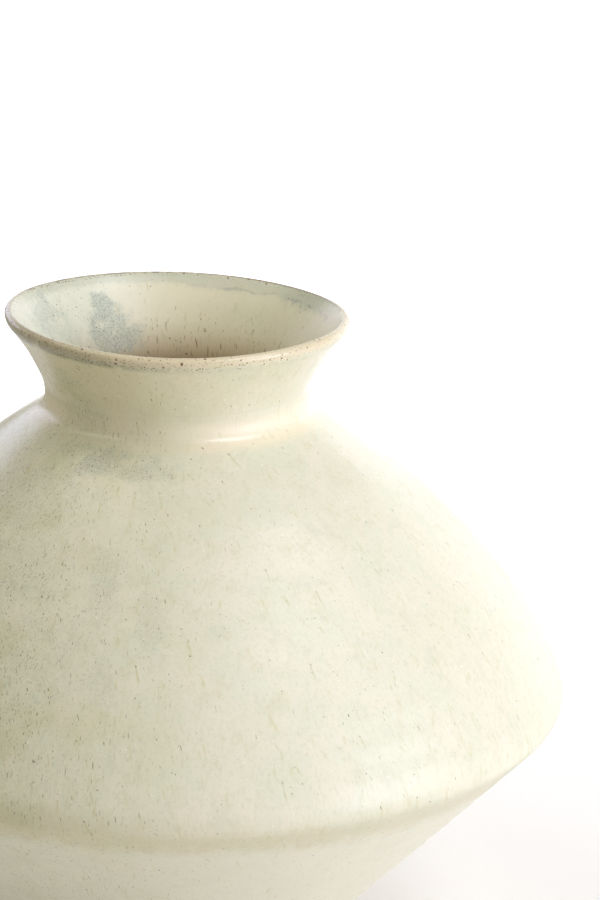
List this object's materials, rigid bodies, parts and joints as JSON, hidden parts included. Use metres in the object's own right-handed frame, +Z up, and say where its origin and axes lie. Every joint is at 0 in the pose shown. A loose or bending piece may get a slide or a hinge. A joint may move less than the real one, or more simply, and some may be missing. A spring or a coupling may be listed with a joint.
{
  "type": "moon jar",
  "caption": "Tall-shouldered stoneware jar with a flared neck, a sharply turned belly and a tapered lower bowl on a turned foot ring, speckled cream glaze.",
  "frame": {"origin": "centre of the foot ring's resting face, on the jar's axis", "axes": "+Z up along the jar's axis of turning; +X to the right in the picture's view, which looks along +Y and slightly down"},
  "size_m": [0.3472, 0.347, 0.2921],
  "materials": {
    "glazed_clay": "satin",
    "bare_clay": "matte"
  },
  "bodies": {
    "root": {"foot_ring": "bare_clay", "foot_slip": "bare_clay", "lower_bowl": "glazed_clay", "belly_slip": "glazed_clay", "seam_coil": "glazed_clay", "upper_bowl": "glazed_clay", "neck_slip": "glazed_clay", "neck_collar": "glazed_clay"}
  },
  "joints": []
}
